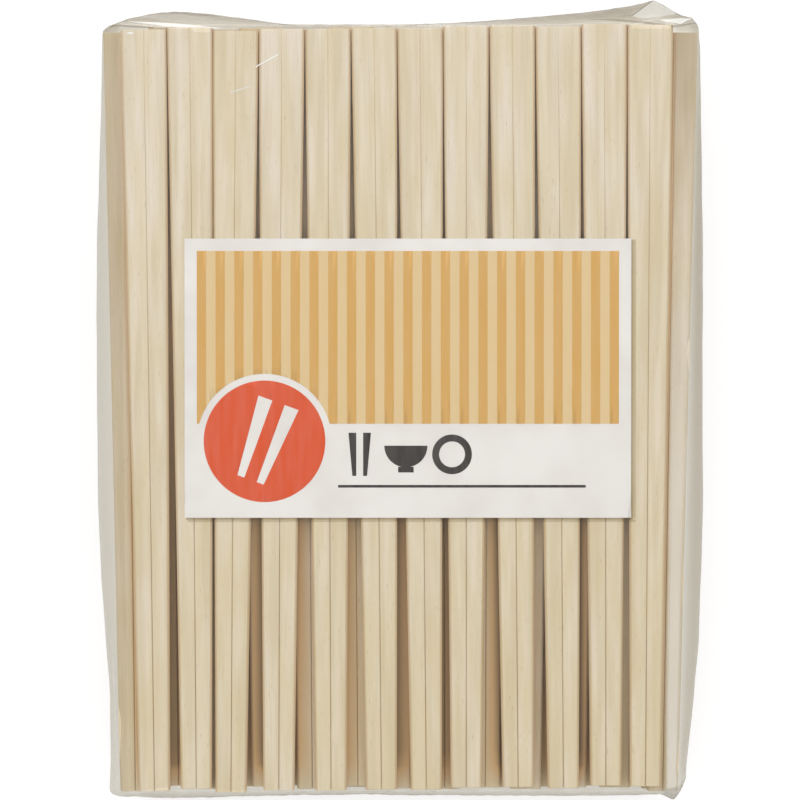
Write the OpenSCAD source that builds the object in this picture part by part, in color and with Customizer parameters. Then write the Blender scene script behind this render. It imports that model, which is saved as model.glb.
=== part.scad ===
// Sealed clear film pack of one hundred pairs of disposable wooden chopsticks, with a label slip.
// The pack lies on its back: X runs across the pairs, Y along them with the heads at +Y, and Z
// points up towards the label. The origin is the middle of the underside.

/* [Chopstick pair] */
// Length of a pair
pair_length = 203; // [150:1:240]
// Width of both sticks together at the head
head_width = 12; // [10:0.1:16]
// Width of both sticks together at the tips
tip_width = 8.3; // [6:0.1:9.5]
// Thickness at the head
head_thickness = 4.5; // [4:0.1:6]
// Thickness at the tips
tip_thickness = 4; // [3:0.1:4]
// Bevel along the outer edges
edge_bevel = 0.6; // [0.2:0.05:1]
// Depth of the V groove along the splitting line
groove_depth = 0.5; // [0.2:0.05:0.9]
// Width of the saw cut between the two sticks
slit_width = 0.35; // [0.15:0.05:0.6]
// Length at the head that the saw cut leaves joined
joined_length = 18; // [8:1:40]

/* [Bundle] */
// Layers of pairs, one on another
layers = 8; // [4:1:12]
// Pairs in a short layer, such as the front one; a full layer holds one more
row_pairs = 12; // [6:1:14]
// Gap between neighbouring heads in a short layer
short_gap = 0.26; // [0.2:0.01:0.6]
// Gap between neighbouring heads in a full layer
full_gap = 0.08; // [0.06:0.01:0.3]
// Gap between layers
layer_gap = 0.05; // [0.02:0.01:0.3]
// How far the outermost tips lean in, as a share of the free room between tips
gather = 1.3; // [0:0.1:1.8]
// How far a tip inside a layer may stray, as a share of the same room
stray = 0.8; // [0:0.1:0.85]
// How far a head may stand out of line or back
head_stagger = 0.5; // [0:0.1:0.6]
// How far the outermost pairs of a full layer are pushed back at the head
outer_setback = 1; // [0.5:0.1:1]

/* [Film bag] */
// Thickness of the film
film_thickness = 0.06; // [0.04:0.01:0.12]
// Gap between the film and what it lies on
film_gap = 0.05; // [0.03:0.01:0.3]
// Loose room beside the outermost tips
tip_slack = 4.1; // [3:0.1:8]
// Loose room beside the outermost heads
head_slack = 3.2; // [3:0.1:8]
// How much further the sides bulge half way along
side_belly = 2.65; // [0:0.05:6]
// Squareness of the sides in section, 2 for an ellipse
side_fullness = 2.5; // [2.4:0.1:4]
// Room between the ends of the pairs and the film
end_gap = 1.2; // [1.2:0.1:3]
// Radius of the bag's corners seen from above
corner_radius = 6; // [3:0.5:8]
// How far the end seam's corners are tucked in
corner_tuck = 3; // [0:0.5:5]
// Thickness of the welded end seam
seam_thickness = 0.3; // [0.3:0.02:0.6]
// Width of the weld along the end seam
weld_width = 0.4; // [0.2:0.05:0.8]

/* [Label slip] */
// Width of the slip
label_width = 119; // [80:1:130]
// Height of the slip, along the pairs
label_height = 74.4; // [65:0.2:110]
// Middle of the slip to the right of the bundle's middle
label_x = 2.9; // [-8:0.1:8]
// Middle of the slip towards the heads
label_y = 8.1; // [-20:0.1:30]
// Thickness of the paper
paper_thickness = 0.12; // [0.08:0.01:0.25]
// Thickness of each layer of ink
ink_thickness = 0.03; // [0.02:0.01:0.05]
// Gap between the slip and the pairs under it
label_gap = 0.05; // [0.03:0.01:0.3]

/* [Label print] */
// Bare margin left, right and above the striped field
field_margin = 3.3; // [1:0.1:6]
// Height of the striped field
field_height = 46; // [30:0.5:50]
// Number of dark stripes
stripes = 23; // [7:1:31]
// Share of the pitch that a dark stripe takes
stripe_share = 0.49; // [0.2:0.01:0.8]
// Radius of the round spot
spot_radius = 16.2; // [8:0.1:17]
// Width of the bare rim round the spot
spot_rim = 1.8; // [0.5:0.1:3]
// Middle of the spot from the slip's left edge
spot_inset = 21.3; // [20:0.1:40]
// Middle of the spot above the slip's lower edge
spot_rise = 20.4; // [20:0.1:30]
// Size of the square that each sign on the slip fills
sign_size = 11.5; // [6:0.1:14]
// Length of the thin rule under the signs
rule_length = 66; // [30:1:68]
// Thickness of that rule's line
rule_width = 0.7; // [0.3:0.1:1.5]

/* [Hidden] */
smooth = 96;

// Lean of the front layer's tips, left to right, as shares of the free room, and the head stagger
front_lean = [1.36, 0.81, -0.71, -0.45, 0.4, 1.0, 0.86, 0.05, 0.86, 0.76, 0.3, -0.56];
front_slide = [-0.6, 0, -0.9, -0.4, -0.4, -0.2, -0.2, 0.3, 0.5, 0.2, 0.9, 0.7];

// Reach of the end seams: share of the way across from the middle, reach at heads, reach at tips
seam_reach = [
    [-1, 2.8, 2.1], [-0.84, 4.5, 2.4], [-0.62, 2.9, 2.3], [-0.42, 1.2, 1.6], [-0.2, 1, 1.4],
    [0, 1, 1.3], [0.2, 1.4, 1.6], [0.38, 2, 1.8], [0.57, 3.5, 1.8], [0.75, 5.1, 1.7],
    [0.93, 7.6, 1.5], [1, 5.2, 2.9]
];
corner_reach = [1.3, 0.8];

// Steps round a quarter of the film's side, and shares of the way along with a film section
side_steps = 4;
body_shares = [0.16, 0.32, 0.5, 0.68, 0.84];
corner_angles = [0, 30, 58];
closing_angles = [22, 45, 70, 90];

wood = "#e0d3ba";
clear_film = "#dfe6e81f";
paper_white = "#e9e5e2";
ochre_light = "#debe8c";
ochre_dark = "#d4a35c";
spot_orange = "#de6a3e";
ink_black = "#2b2420";

taper = (head_width - tip_width) / 2;
short_pitch = head_width + short_gap;
full_pitch = head_width + full_gap;
bundle_base = film_thickness + film_gap;
ink_layers = 2;
label_space = label_gap + paper_thickness + ink_layers * ink_thickness + film_gap;
front_tilt = atan(layers * (head_thickness - tip_thickness) / pair_length);
strays = rands(-1, 1, layers * (row_pairs + 1), 41);
staggers = rands(-1, 1, layers * (row_pairs + 1), 17);

function mix(a, b, share) = a + (b - a) * share;
function flat(lists) = [for (list = lists) for (item = list) item];
function two_digits(n) = str(n < 10 ? "0" : "", n);
function pair_name(side, spot) = str(side, "_pair_", two_digits(spot + 1));
function layer_name(layer) = str("inner_layer_", layer);

function is_full(layer) = min(layer, layers - 1 - layer) % 2 == 1;
function pairs_in(layer) = is_full(layer) ? row_pairs + 1 : row_pairs;
function pitch_in(layer) = is_full(layer) ? full_pitch : short_pitch;
function is_front(layer) = layer == layers - 1;

// Section of a pair, half_w wide and half_t thick each side of its middle, laid across the way
// it points: right stick from the groove round to the lower groove, then the left stick
function pair_section(half_w, half_t, y) = let (
    right = [
        [0, half_t - groove_depth], [groove_depth, half_t], [half_w - edge_bevel, half_t],
        [half_w, half_t - edge_bevel], [half_w, edge_bevel - half_t],
        [half_w - edge_bevel, -half_t], [groove_depth, -half_t], [0, groove_depth - half_t]
    ]
) [
    for (p = right) [p.x, y, p.y],
    for (i = [6:-1:1]) [-right[i].x, y, right[i].y]
];

// One pair from tips to head, with its tips at y = 0 and its middle plane at z = 0
module chopstick_pair() {
    corners = 14;
    stick = [0, 1, 2, 3, 4, 5, 6, 7];
    mirrored = [7, 8, 9, 10, 11, 12, 13, 0];
    sides = [for (i = [0:corners - 1]) let (j = (i + 1) % corners)
        [i, corners + i, corners + j, j]];
    tips = [stick, mirrored];
    head = [for (face = tips) [for (k = [len(face) - 1:-1:0]) corners + face[k]]];
    color(wood) difference() {
        polyhedron(
            points = concat(
                pair_section(tip_width / 2, tip_thickness / 2, 0),
                pair_section(head_width / 2, head_thickness / 2, pair_length)
            ),
            faces = concat(sides, tips, head)
        );
        translate([-slit_width / 2, -1, -head_thickness])
            cube([slit_width, pair_length - joined_length + 1, 2 * head_thickness]);
    }
}

// Share of the free room between tips that a pair's tips lean over, and its slide along Y
function lean_share(layer, spot) = let (across = 2 * spot / (pairs_in(layer) - 1) - 1)
    is_front(layer)
        ? front_lean[spot % len(front_lean)]
        : stray * (1 - abs(across)) * strays[layer * (row_pairs + 1) + spot] - gather * across;
function is_outer(layer, spot) = is_full(layer) && (spot == 0 || spot == pairs_in(layer) - 1);
function slide(layer, spot) =
    is_front(layer) ? front_slide[spot % len(front_slide)]
    : is_outer(layer, spot) ? -outer_setback
    : head_stagger * staggers[layer * (row_pairs + 1) + spot];

// A pair in its layer: the layers fan out from the tips to the thicker heads
module placed_pair(layer, spot) {
    rise = (layer + 0.5) * (head_thickness - tip_thickness);
    free_room = (pitch_in(layer) - tip_width) / 2;
    translate([0, -pair_length / 2, bundle_base + (layer + 0.5) * (tip_thickness + layer_gap)])
        rotate([atan(rise / pair_length), 0, 0])
        translate([(spot - (pairs_in(layer) - 1) / 2) * pitch_in(layer),
            pair_length + slide(layer, spot), 0])
        rotate([0, 0, asin(lean_share(layer, spot) * free_room / pair_length)])
        translate([0, -pair_length, 0])
        chopstick_pair();
}

module whole_layer(layer) {
    for (spot = [0:pairs_in(layer) - 1]) placed_pair(layer, spot);
}

// Half widths of the bundle, and the height of its top, from tips (share 0) to heads (share 1)
function half_row(count, pitch, gap, share) = (count * pitch - gap) / 2 - taper * (1 - share);
function short_half(share) = half_row(row_pairs, short_pitch, short_gap, share);
function full_half(share) = half_row(row_pairs + 1, full_pitch, full_gap, share)
    - gather * (full_pitch - tip_width) / 2 * (1 - share);
function bundle_top(share) =
    bundle_base + layers * (mix(tip_thickness, head_thickness, share) + layer_gap);

// Half width of the bag at mid height, before its corners round off
function bag_half(share) =
    full_half(share) + mix(tip_slack, head_slack, share) + side_belly * sin(180 * share);

// Film section stations: share of the way along, end it belongs to (-1 tips, 0 body, 1 heads),
// angle round the corner seen from above, and angle of closing down to the seam
function end_stations(end) = concat(
    [for (a = corner_angles) [end, a, 0]],
    [for (a = closing_angles) [end, corner_angles[len(corner_angles) - 1], a]]
);
function reversed(list) = [for (i = [len(list) - 1:-1:0]) list[i]];
stations = concat(
    [for (s = reversed(end_stations(-1))) [0, each s]],
    [for (share = body_shares) [share, 0, 0, 0]],
    [for (s = end_stations(1)) [1, each s]]
);

// One closed section of the film. inset is 0 for the outside and the film's thickness for the
// inside; weld is how far the inside stops short of the seam's edge
function film_section(station, inset, weld) = let (
    share = station[0],
    end = station[1],
    last_angle = corner_angles[len(corner_angles) - 1],
    corner_start = pair_length / 2 + end_gap - corner_radius * sin(last_angle),
    wall_y = end == 0
        ? (share - 0.5) * pair_length
        : end * (corner_start + corner_radius * sin(station[2]) - inset),
    cut = corner_radius * (1 - cos(station[2])) + corner_tuck * (1 - cos(station[3])),
    flat_half = short_half(share) - corner_tuck * (1 - cos(station[3])),
    side_half = bag_half(share) - cut + film_thickness - inset,
    top = bundle_top(share) + label_space + film_thickness - inset,
    low = inset,
    closing = cos(station[3]),
    half_height = (top - low) / 2 * closing + (seam_thickness / 2 - inset) * (1 - closing),
    middle = (bundle_top(share) + label_space + film_thickness) / 2,
    column = end < 0 ? 2 : 1,
    corner = corner_reach[column - 1] - weld,
    rounded = [for (i = [1:2 * side_steps - 1]) let (a = 90 - 90 * i / side_steps)
        [pow(cos(a), 2 / side_fullness), sign(a) * pow(abs(sin(a)), 2 / side_fullness)]],
    right_reach = seam_reach[len(seam_reach) - 1][column] - weld,
    left_reach = seam_reach[0][column] - weld,
    across = concat(
        [for (row = seam_reach) [row[0] * flat_half, 1, row[column] - weld]],
        [for (p = rounded)
            [mix(flat_half, side_half, p.x), p.y, mix(right_reach, corner, p.x)]],
        [for (row = reversed(seam_reach)) [row[0] * flat_half, -1, row[column] - weld]],
        [for (p = rounded)
            [-mix(flat_half, side_half, p.x), -p.y, mix(left_reach, corner, p.x)]]
    )
) [for (p = across) [p[0], wall_y + end * p[2] * sin(station[3]), middle + p[1] * half_height]];

// Closed loft through all film sections, its ends shut by strips between upper and lower film
module film_loft(inset, weld) {
    rings = [for (station = stations) film_section(station, inset, weld)];
    n = len(rings[0]);
    last = len(rings) - 1;
    spots = len(seam_reach);
    steps = spots - 1 + 2 * side_steps;
    left_edge = n - side_steps;
    function facing(i) = (2 * spots - 2 + 2 * side_steps - i + n) % n;
    function strip(ring, flip) = [for (k = [0:steps - 1]) let (
        a = (left_edge + k) % n,
        b = (left_edge + k + 1) % n,
        quad = k == 0 ? [a, b, facing(b)] : k == steps - 1 ? [a, b, facing(a)]
            : [a, b, facing(b), facing(a)]
    ) [for (v = flip ? reversed(quad) : quad) ring * n + v]];
    walls = flat([for (r = [0:last - 1]) for (i = [0:n - 1]) let (j = (i + 1) % n,
        a = r * n + i, b = r * n + j, c = b + n, d = a + n) [[a, d, c], [a, c, b]]]);
    polyhedron(points = flat(rings), faces = concat(walls, strip(0, false), strip(last, true)));
}

module film_bag() {
    color(clear_film) difference() {
        film_loft(0, 0);
        film_loft(film_thickness, weld_width);
    }
}

// Puts flat work on the slip: x and y from the slip's middle, lift above the pairs
module on_front(lift) {
    translate([0, -pair_length / 2, bundle_top(0)])
        rotate([front_tilt, 0, 0])
        translate([label_x, pair_length / 2 + label_y, lift])
        children();
}

paper_top = label_gap + paper_thickness;
field_width = label_width - 2 * field_margin;
field_top = label_height / 2 - field_margin;
spot_x = spot_inset - label_width / 2;
spot_y = spot_rise - label_height / 2;

module spot_hole() {
    translate([spot_x, spot_y]) circle(spot_radius + spot_rim, $fn = smooth);
}

module label_slip() {
    color(paper_white) on_front(label_gap)
        translate([-label_width / 2, -label_height / 2, 0])
        cube([label_width, label_height, paper_thickness]);
}

module label_field() {
    color(ochre_light) on_front(paper_top) linear_extrude(ink_thickness) difference() {
        translate([-field_width / 2, field_top - field_height]) square([field_width, field_height]);
        spot_hole();
    }
}

// Dark stripes on the field, the first and the last flush with its sides
module label_stripes() {
    pitch = field_width / (stripes - 1 + stripe_share);
    color(ochre_dark) on_front(paper_top + ink_thickness) linear_extrude(ink_thickness)
        difference() {
            for (i = [0:stripes - 1])
                translate([i * pitch - field_width / 2, field_top - field_height])
                    square([pitch * stripe_share, field_height]);
            spot_hole();
        }
}

// A plain pair of sticks standing side by side in a square of the given size
module sticks_sign(size) {
    for (side = [-1, 1]) scale([side * size, size]) polygon([
        [0.08, 0.5], [0.26, 0.5], [0.17, -0.5], [0.08, -0.5]
    ]);
}

// A plain bowl on its foot
module bowl_sign(size) {
    intersection() {
        translate([0, 0.2 * size]) circle(size / 2, $fn = smooth);
        translate([-size / 2, -0.3 * size]) square([size, 0.5 * size]);
    }
    translate([-0.18 * size, -0.42 * size]) square([0.36 * size, 0.13 * size]);
}

// A plain round dish
module dish_sign(size) {
    difference() {
        circle(0.46 * size, $fn = smooth);
        circle(0.3 * size, $fn = smooth);
    }
}

// The round spot, with a pair of sticks left bare in it
module label_spot() {
    color(spot_orange) on_front(paper_top) translate([spot_x, spot_y, 0])
        linear_extrude(ink_thickness) difference() {
            circle(spot_radius, $fn = smooth);
            rotate(-20) sticks_sign(1.35 * spot_radius);
        }
}

// Three signs in a row beside the spot, and a thin rule under them
module label_signs() {
    sign_gap = 0.07 * sign_size;
    first_x = spot_x + spot_radius + spot_rim + 2 * sign_gap + sign_size / 2;
    row_y = field_top - field_height - 3 * sign_gap - sign_size / 2;
    color(ink_black) on_front(paper_top) linear_extrude(ink_thickness) {
        translate([first_x, row_y]) sticks_sign(sign_size);
        translate([first_x + sign_size + sign_gap, row_y]) bowl_sign(sign_size);
        translate([first_x + 2 * (sign_size + sign_gap), row_y]) dish_sign(sign_size);
        translate([first_x - sign_size / 2, row_y - sign_size / 2 - 3 * sign_gap - rule_width])
            square([rule_length, rule_width]);
    }
}

film_bag();
label_slip();
label_field();
label_stripes();
label_spot();
label_signs();
for (spot = [0:row_pairs - 1]) {
    placed_pair(layers - 1, spot);
    placed_pair(0, spot);
}
for (layer = [1:layers - 2])
    whole_layer(layer);
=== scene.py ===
"""Dresses a sealed clear film pack of one hundred pairs of disposable wooden chopsticks.

The pack lies on its back as in the CAD: X runs across the pairs, Y along them with the heads
at +Y, and Z points up towards the label slip. Sizes in this file are millimetres, and each mesh
is turned to metres when it is written.
"""

from __future__ import annotations

import logging
import math
from collections.abc import Callable
from dataclasses import dataclass, field
from enum import Enum
from functools import partial

import bmesh
import bpy
import numpy as np
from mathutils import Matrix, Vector


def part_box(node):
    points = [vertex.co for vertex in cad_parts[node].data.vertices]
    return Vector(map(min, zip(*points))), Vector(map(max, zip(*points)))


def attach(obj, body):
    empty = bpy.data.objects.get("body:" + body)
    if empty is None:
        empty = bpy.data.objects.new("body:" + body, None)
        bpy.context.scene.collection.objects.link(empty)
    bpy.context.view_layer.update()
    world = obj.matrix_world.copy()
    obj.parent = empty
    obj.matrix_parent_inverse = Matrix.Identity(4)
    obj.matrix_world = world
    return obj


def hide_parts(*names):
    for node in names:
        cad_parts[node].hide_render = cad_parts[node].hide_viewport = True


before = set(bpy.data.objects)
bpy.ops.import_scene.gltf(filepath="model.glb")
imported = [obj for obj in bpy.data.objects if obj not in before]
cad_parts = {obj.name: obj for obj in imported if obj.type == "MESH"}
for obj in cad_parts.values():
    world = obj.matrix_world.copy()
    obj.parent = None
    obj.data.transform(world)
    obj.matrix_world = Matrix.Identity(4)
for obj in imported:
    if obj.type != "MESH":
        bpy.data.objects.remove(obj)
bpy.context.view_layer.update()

MM = 0.001
BODY = "root"
PAIR_LENGTH = 203.0
SNAP = 0.0002 * MM
# Where along Y the points of a pair are told apart: tips, end of the saw cut, head.
TIP_ZONE, CUT_ZONE, HEAD_ZONE = -90.0, 60.0, 95.0
log = logging.getLogger("chopstick_pack")
Adder = Callable[..., bpy.types.Node]
Number = float | np.ndarray
Source = bpy.types.NodeSocket | bpy.types.Node


class Slot(Enum):
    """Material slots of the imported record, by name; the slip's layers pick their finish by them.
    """

    FILM = "film"
    WOOD = "aspen"
    PAPER = "paper"
    LIGHT_OCHRE = "light_ochre_ink"
    DARK_OCHRE = "dark_ochre_ink"
    ORANGE = "orange_ink"
    BLACK = "black_ink"


class Ink(Enum):
    """Inks of the label print, each with its sRGB colour as it looks on the paper."""

    LIGHT_OCHRE = "#e6c996"
    DARK_OCHRE = "#dcab5b"
    ORANGE = "#e44f0a"
    BLACK = "#2b2420"


class End(Enum):
    """Part of the film bag that a section belongs to, with its sign along Y."""

    TIPS = -1
    BODY = 0
    HEADS = 1


def linear_colour(hex_code: str) -> tuple[float, float, float, float]:
    """Turns an sRGB hex colour into linear light.

    Args:
        hex_code: Colour such as "#e0d3ba".

    Returns:
        Linear red, green, blue and an alpha of 1.
    """
    shares = [int(hex_code[i : i + 2], 16) / 255 for i in (1, 3, 5)]
    linear = [s / 12.92 if s <= 0.04045 else ((s + 0.055) / 1.055) ** 2.4 for s in shares]
    return (linear[0], linear[1], linear[2], 1.0)


def between(ends: tuple[Number, Number], share: Number) -> Number:
    """Value at a share of the way from one end to the other."""
    return ends[0] + (ends[1] - ends[0]) * share


def add_node(
    tree: bpy.types.NodeTree, kind: str, settings: dict[str | int, object] | None = None,
    links: dict[str | int, Source] | None = None,
) -> bpy.types.Node:
    """Adds a shader node, sets it and links its inputs.

    Args:
        tree: Node tree that gets the node.
        kind: Node type without its first word, such as "TexNoise".
        settings: Values by input name or index, or by the node's own property name. A colour
            is an sRGB hex value.
        links: Sockets by the input name or index that they feed, or nodes, which feed it with
            their first output.

    Returns:
        The new node.
    """
    node = tree.nodes.new("ShaderNode" + kind)
    for name, value in (settings or {}).items():
        if isinstance(name, str) and hasattr(node, name):
            setattr(node, name, value)
            continue
        is_colour = isinstance(value, str) and value.startswith("#")
        node.inputs[name].default_value = linear_colour(value) if is_colour else value
    for name, source in (links or {}).items():
        socket = source.outputs[0] if isinstance(source, bpy.types.Node) else source
        tree.links.new(socket, node.inputs[name])
    return node


def new_material(name: str) -> tuple[bpy.types.Material, Adder]:
    """Makes an empty node material.

    Args:
        name: Name of the real material and of how it was made.

    Returns:
        The material, and add_node for its cleared tree.
    """
    material = bpy.data.materials.new(name)
    material.use_nodes = True
    material.node_tree.nodes.clear()
    return material, partial(add_node, material.node_tree)


@dataclass(frozen=True)
class PlanedAspen:
    """Aspen, sawn and planed raw: pale cream, dry and matt, with fine straight fibres.

    The eye gets short low-contrast streaks along the stick, broad faint growth bands, warmer
    crushed edges, and darker end grain where the saw went across. Painted shade darkens the wood
    that lies under the front row and beside it. Widths and lengths are of single streaks, and a
    tone's share is how far the strongest streak goes towards it.
    """

    pink_cream: str = "#ebdfd0"
    yellow_cream: str = "#e1d2b2"
    fibre_shade: str = "#cfbd9b"
    edge_tone: str = "#bf9660"
    edge_share: float = 0.6
    # Painted shade: light brown up to a shade of 1, dark brown from 1 to 2.
    buried_tone: str = "#d8b586"
    painted_deep_shade_tone: str = "#50402c"
    fleck_tone: str = "#a98f68"
    cut_tone: str = "#c9ae83"
    cut_share: tuple[float, float] = (0.35, 0.95)
    drift: float = 0.4
    roughness: tuple[float, float] = (0.56, 0.72)
    fibre: tuple[float, float] = (0.28, 14.0)
    band: tuple[float, float] = (2.4, 45.0)
    cloud: tuple[float, float] = (3.6, 24.0)
    fleck: tuple[float, float] = (0.3, 2.6)
    pore: tuple[float, float] = (0.22, 0.22)
    fibre_depth: float = 0.03

    def material(self) -> bpy.types.Material:
        """Builds the wood's node material.

        Returns:
            The finished material.
        """
        material, add = new_material("aspen_planed_raw")
        place = add("Attribute", {"attribute_name": "grain"}).outputs["Vector"]
        tint, edge, cut, buried = (
            add("Attribute", {"attribute_name": name}).outputs["Fac"]
            for name in ("tint", "edge", "cut", "buried")
        )
        fibres = self.streaks(add, place, self.fibre, 3.0)
        bands = self.streaks(add, place, self.band, 1.5)
        flecks = self.streaks(add, place, self.fleck, 1.0)
        pores = self.streaks(add, place, self.pore, 2.0)
        clouds = self.streaks(add, place, self.cloud, 1.0)
        drift = self.share(add, clouds, (0.3, 0.7), (-self.drift, self.drift))
        warmth = add("Math", {"operation": "ADD", "use_clamp": True}, {0: tint, 1: drift})
        creams = {6: self.pink_cream, 7: self.yellow_cream}
        base = add("Mix", {"data_type": "RGBA", **creams}, {"Factor": warmth})
        cut_pores = self.share(add, pores, (0.35, 0.65), self.cut_share)
        sawn = add("Math", {"operation": "MULTIPLY"}, {0: cut, 1: cut_pores})
        # Each pattern with the values where it starts and is full, how much it shows, its tone.
        layers = (
            (bands, (0.44, 0.66), 0.40, self.fibre_shade),
            (fibres, (0.50, 0.74), 0.36, self.fibre_shade),
            (pores, (0.45, 0.65), 0.14, self.fibre_shade),
            (flecks, (0.68, 0.80), 0.42, self.fleck_tone),
            (edge, (0.0, 1.0), self.edge_share, self.edge_tone),
            # Painted shade on wood under and beside the front row.
            (buried, (0.0, 1.0), 1.0, self.buried_tone), (buried, (1.0, 2.0), 1.0, self.painted_deep_shade_tone),
            (sawn, (0.0, 1.0), 1.0, self.cut_tone),
        )
        colour = base.outputs[2]
        for pattern, reach, most, tone in layers:
            mix = add(
                "Mix", {"data_type": "RGBA", 7: tone},
                {"Factor": self.share(add, pattern, reach, (0.0, most)), 6: colour},
            )
            colour = mix.outputs[2]
        depth = self.fibre_depth * MM
        relief = add("Bump", {"Strength": 0.5, "Distance": depth}, {"Height": fibres})
        wood = add(
            "BsdfPrincipled", {"IOR": 1.5, "Specular IOR Level": 0.35},
            {
                "Base Color": colour,
                "Roughness": self.share(add, fibres, (0.0, 1.0), self.roughness), "Normal": relief,
            },
        )
        add("OutputMaterial", None, {"Surface": wood})
        return material

    def streaks(
        self, add: Adder, place: Source, size: tuple[float, float], detail: float
    ) -> Source:
        """Adds noise drawn out along the fibres.

        Args:
            add: Adds a node to the wood.
            place: Place inside the stick in millimetres.
            size: Width of a streak across the fibres and its length along them.
            detail: Detail of the noise.

        Returns:
            The noise.
        """
        width, length = size
        scale = (1 / width, 1 / length, 1 / width)
        run = add("Mapping", {"Scale": scale}, {"Vector": place})
        return add("TexNoise", {"Scale": 1.0, "Detail": detail}, {"Vector": run})

    def share(
        self, add: Adder, value: Source, reach: tuple[float, float], to: tuple[float, float]
    ) -> Source:
        """Carries a value from one reach over to another.

        Args:
            add: Adds a node to the wood.
            value: The value.
            reach: Values that it starts from.
            to: Values that these become.

        Returns:
            The new value, never past the second reach.
        """
        ends = zip(("From Min", "From Max", "To Min", "To Max"), (*reach, *to))
        return add("MapRange", dict(ends), {"Value": value})


@dataclass(frozen=True)
class CastFilm:
    """Clear polypropylene film, cast and heat sealed: thin, glossy and faintly milky.

    The eye gets soft lamp streaks on every bend, a grey veil where the film is slack or doubled,
    and fine dents where it isn't stretched over the pairs. On the laid patches, the white veil and
    the grey tint paint highlights and shade.
    """

    milk_and_painted_highlight_tone: str = "#fcfbf7"
    veil_tone: str = "#b4b1a8"
    clear_tone: str = "#fbfbf9"
    dull_and_painted_shade_tone: str = "#dad4c8"
    shine_tone: str = "#e6e5e0"
    mirror_share: float = 0.045
    grazing_share: float = 0.42
    grazing_power: float = 5.0
    roughness: float = 0.1
    veil_tight: float = 0.01
    veil_slack: float = 0.84
    full_slack: float = 2.0
    grey_from: float = 0.5
    dent_size: float = 3.2
    dent_depth: float = 0.16
    tight_dents: float = 0.08

    def material(self) -> bpy.types.Material:
        """Builds the film's node material.

        Returns:
            The finished material.
        """
        material, add = new_material("polypropylene_film_cast")
        # Slack sets the white veil and bent the grey tint; on the laid patches they are painted
        # highlights and painted shade.
        slack, bent, place = (
            add("Attribute", {"attribute_name": name}).outputs[socket]
            for name, socket in (("slack", "Fac"), ("bent", "Fac"), ("grain", "Vector"))
        )
        noise = {"Scale": 1 / self.dent_size, "Detail": 2.0, "Distortion": 0.6}
        dents = add("TexNoise", noise, {"Vector": place})
        calm = add("MapRange", {"To Min": self.tight_dents}, {"Value": slack})
        height = add("Math", {"operation": "MULTIPLY"}, {0: dents, 1: calm})
        depth = self.dent_depth * MM
        relief = add("Bump", {"Strength": 1.0, "Distance": depth}, {"Height": height})
        normal = {"Normal": relief}
        tones = {6: self.clear_tone, 7: self.dull_and_painted_shade_tone}
        tone = add("Mix", {"data_type": "RGBA", **tones}, {"Factor": bent}).outputs[2]
        clear = add("BsdfTransparent", None, {"Color": tone})
        gloss = {"Color": self.shine_tone, "Roughness": self.roughness}
        shine = add("BsdfGlossy", gloss, normal)
        tilt = add("LayerWeight", {"Blend": 0.5}, normal).outputs["Facing"]
        steep = add("Math", {"operation": "POWER", 1: self.grazing_power}, {0: tilt})
        shares = {"To Min": self.mirror_share, "To Max": self.grazing_share}
        mirror = add("MapRange", shares, {"Value": steep})
        skin = add("MixShader", None, {0: mirror, 1: clear, 2: shine})
        grey = add("MapRange", {"From Max": self.grey_from}, {"Value": bent})
        milks = {6: self.milk_and_painted_highlight_tone, 7: self.veil_tone}
        milk_and_painted_highlight = add("Mix", {"data_type": "RGBA", **milks}, {"Factor": grey}).outputs[2]
        haze = add("BsdfDiffuse", None, {"Color": milk_and_painted_highlight, **normal})
        veils = {"From Max": self.full_slack, "To Min": self.veil_tight, "To Max": self.veil_slack}
        veil = add("MapRange", veils, {"Value": slack})
        film = add("MixShader", None, {0: veil, 1: skin, 2: haze})
        add("OutputMaterial", None, {"Surface": film})
        return material


@dataclass(frozen=True)
class CoatedPaper:
    """Coated label paper, smooth and near white: matt, with hardly any fibre showing."""

    white: str = "#f3efed"
    shade: str = "#e8e3e0"
    roughness: float = 0.5
    fibre_size: float = 0.6
    fibre_depth: float = 0.01
    cloud_size: float = 14.0
    cloud_reach: tuple[float, float] = (0.35, 0.75)

    def material(self) -> bpy.types.Material:
        """Builds the paper's node material.

        Returns:
            The finished material.
        """
        material, add = new_material("label_paper_coated")
        place = {"Vector": add("TexCoord").outputs["Object"]}
        fibres, clouds = (
            add("TexNoise", {"Scale": 1 / (size * MM), "Detail": detail}, place)
            for size, detail in ((self.fibre_size, 4.0), (self.cloud_size, 2.0))
        )
        reach = dict(zip(("From Min", "From Max"), self.cloud_reach))
        cloudy = add("MapRange", reach, {"Value": clouds})
        tones = {6: self.white, 7: self.shade}
        tone = add("Mix", {"data_type": "RGBA", **tones}, {"Factor": cloudy}).outputs[2]
        depth = self.fibre_depth * MM
        relief = add("Bump", {"Strength": 0.25, "Distance": depth}, {"Height": fibres})
        paper = add(
            "BsdfPrincipled", {"Roughness": self.roughness, "IOR": 1.5},
            {"Base Color": tone, "Normal": relief},
        )
        add("OutputMaterial", None, {"Surface": paper})
        return material


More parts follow.
